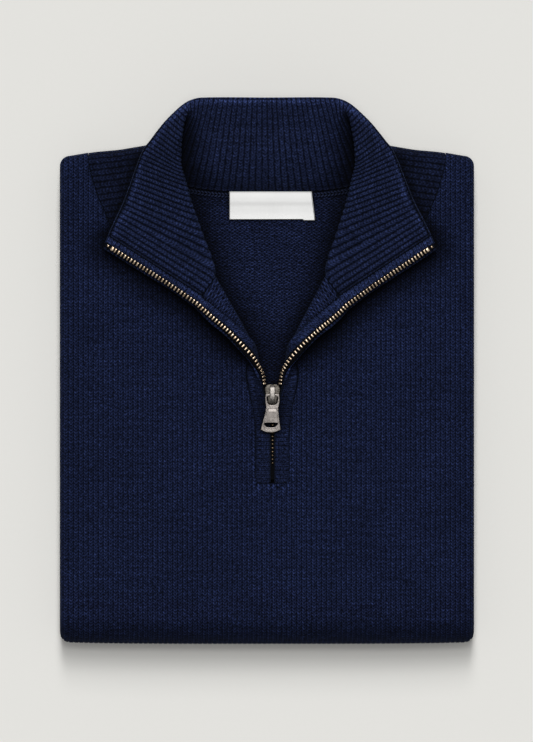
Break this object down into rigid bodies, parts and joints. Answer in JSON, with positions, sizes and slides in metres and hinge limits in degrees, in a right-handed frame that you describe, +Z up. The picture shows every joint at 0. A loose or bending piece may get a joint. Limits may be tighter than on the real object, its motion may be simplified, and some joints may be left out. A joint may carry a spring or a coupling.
{
  "type": "quarter zip sweater",
  "caption": "Navy knit sweater folded into a flat rectangle, with a ribbed stand collar turned outwards around a half-open front zip.",
  "frame": {"origin": "centre of the bounding box's bottom face, on the surface the stack lies on", "axes": "+Z up from the surface, +Y from the bottom fold towards the collar, +X towards the garment's left side"},
  "size_m": [0.28, 0.3682, 0.0583],
  "materials": {
    "navy_jersey": "fine plain knit, matt navy",
    "navy_rib": "rib and sideways knit, matt navy",
    "navy_tape": "woven tape, dark navy",
    "label_white": "woven satin label, off-white",
    "zip_gold": "pale gold teeth, worn bright",
    "zip_bronze": "teeth in shade, dull gold",
    "pull_nickel": "nickel silver, satin"
  },
  "bodies": {
    "sweater": {"front": "navy_jersey", "back": "navy_jersey", "folded_layers": "navy_jersey", "shoulder_left": "navy_rib", "shoulder_right": "navy_rib", "collar": "navy_rib", "neck_seam": "navy_rib", "neck_label": "label_white", "placket_left": "navy_rib", "placket_right": "navy_rib", "zip_tape_left": "navy_tape", "zip_tape_right": "navy_tape", "zip_chain_left": "zip_gold", "zip_chain_right": "zip_gold", "zip_chain_closed": "zip_bronze", "zip_stop_left": "zip_gold", "zip_stop_right": "zip_gold", "zip_slider": "pull_nickel"},
    "pull_tab": {"zip_pull": "pull_nickel"}
  },
  "joints": [
    {"name": "pull_tab_hinge", "type": "hinge", "parent": "sweater", "child": "pull_tab", "pos_m": [0.0037, -0.01605, 0.0397], "axis": [-1, 0, 0], "range_deg": [0, 140]}
  ]
}
